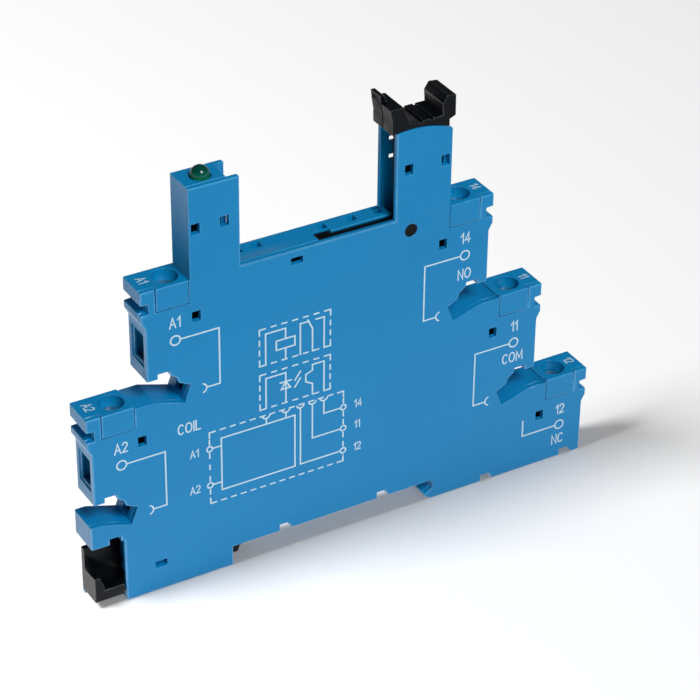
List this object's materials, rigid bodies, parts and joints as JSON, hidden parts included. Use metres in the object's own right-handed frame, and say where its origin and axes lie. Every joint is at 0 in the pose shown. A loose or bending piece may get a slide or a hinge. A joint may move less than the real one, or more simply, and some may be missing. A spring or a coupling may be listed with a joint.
{
  "type": "relay socket",
  "caption": "Slim rail-mounted carrier for a plug-in relay: snapped two-part casing, captive screw clamps, status lamp, ejector lever and sprung rail foot.",
  "frame": {"origin": "middle of the seat that rests on the 35 mm rail, in the middle of the thickness", "axes": "+X along the carrier towards the contact terminals, +Z away from the rail, -Y towards the cover"},
  "size_m": [0.0956, 0.0062, 0.0792],
  "materials": {
    "casing_blue": "fine satin moulding",
    "black_plastic": "satin moulding",
    "lamp_green": "tinted clear epoxy, shown solid",
    "tinned_wire": "tinned",
    "board_green": "solder-resist",
    "component_black": "moulded epoxy",
    "resistor_body": "lacquered ceramic",
    "capacitor_body": "boxed film capacitor",
    "varistor_body": "dipped epoxy",
    "spring_steel": "drawn wire",
    "contact_bronze": "tinned strip",
    "nickel_steel": "nickel plated",
    "zinc_steel": "zinc plated"
  },
  "bodies": {
    "casing": {"rear_housing": "casing_blue", "front_cover": "casing_blue", "status_lamp": "lamp_green", "lamp_leads": "tinned_wire", "circuit_board": "board_green", "bridge_rectifier": "component_black", "dropper_resistors": "resistor_body", "smoothing_capacitor": "capacitor_body", "varistor": "varistor_body", "foot_spring": "spring_steel", "coil_receptacle_1": "contact_bronze", "coil_receptacle_2": "contact_bronze", "contact_a1": "contact_bronze", "contact_a2": "contact_bronze", "contact_14": "contact_bronze", "contact_11": "contact_bronze", "contact_12": "contact_bronze"},
    "lever": {"ejector_lever": "black_plastic"},
    "foot": {"rail_foot": "black_plastic"},
    "screw_a1": {"clamp_screw_a1": "nickel_steel"},
    "cage_a1": {"clamp_cage_a1": "zinc_steel"},
    "screw_a2": {"clamp_screw_a2": "nickel_steel"},
    "cage_a2": {"clamp_cage_a2": "zinc_steel"},
    "screw_14": {"clamp_screw_14": "nickel_steel"},
    "cage_14": {"clamp_cage_14": "zinc_steel"},
    "screw_11": {"clamp_screw_11": "nickel_steel"},
    "cage_11": {"clamp_cage_11": "zinc_steel"},
    "screw_12": {"clamp_screw_12": "nickel_steel"},
    "cage_12": {"clamp_cage_12": "zinc_steel"}
  },
  "joints": [
    {"name": "lever_pivot", "type": "hinge", "parent": "casing", "child": "lever", "pos_m": [0.0121, 0, 0.0515], "axis": [0, 1, 0], "range_deg": [0, 15]},
    {"name": "foot_slide", "type": "slide", "parent": "casing", "child": "foot", "axis": [-1, 0, 0], "range_m": [0, 0.0028], "stiffness_N_per_m": 2000, "springref_m": -0.001, "deforming": ["foot_spring"]},
    {"name": "screw_turn_a1", "type": "hinge", "parent": "casing", "child": "screw_a1", "pos_m": [-0.0307, 0, 0.054], "axis": [0, 0, -1], "range_deg": [0, 1800]},
    {"name": "cage_rise_a1", "type": "slide", "parent": "casing", "child": "cage_a1", "axis": [0, 0, 1], "range_m": [0, 0.00225]},
    {"name": "screw_turn_a2", "type": "hinge", "parent": "casing", "child": "screw_a2", "pos_m": [-0.0408, 0, 0.03365], "axis": [0, 0, -1], "range_deg": [0, 1800]},
    {"name": "cage_rise_a2", "type": "slide", "parent": "casing", "child": "cage_a2", "axis": [0, 0, 1], "range_m": [0, 0.00225]},
    {"name": "screw_turn_14", "type": "hinge", "parent": "casing", "child": "screw_14", "pos_m": [0.0226, 0, 0.054], "axis": [0, 0, -1], "range_deg": [0, 1800]},
    {"name": "cage_rise_14", "type": "slide", "parent": "casing", "child": "cage_14", "axis": [0, 0, 1], "range_m": [0, 0.00225]},
    {"name": "screw_turn_11", "type": "hinge", "parent": "casing", "child": "screw_11", "pos_m": [0.0331, 0, 0.03365], "axis": [0, 0, -1], "range_deg": [0, 1800]},
    {"name": "cage_rise_11", "type": "slide", "parent": "casing", "child": "cage_11", "axis": [0, 0, 1], "range_m": [0, 0.00225]},
    {"name": "screw_turn_12", "type": "hinge", "parent": "casing", "child": "screw_12", "pos_m": [0.0436, 0, 0.0133], "axis": [0, 0, -1], "range_deg": [0, 1800]},
    {"name": "cage_rise_12", "type": "slide", "parent": "casing", "child": "cage_12", "axis": [0, 0, 1], "range_m": [0, 0.00225]}
  ],
  "couplings": [
    {"joint": "screw_turn_a1", "follows": "cage_rise_a1", "rad_per_m": 13963},
    {"joint": "screw_turn_a2", "follows": "cage_rise_a2", "rad_per_m": 13963},
    {"joint": "screw_turn_14", "follows": "cage_rise_14", "rad_per_m": 13963},
    {"joint": "screw_turn_11", "follows": "cage_rise_11", "rad_per_m": 13963},
    {"joint": "screw_turn_12", "follows": "cage_rise_12", "rad_per_m": 13963}
  ]
}
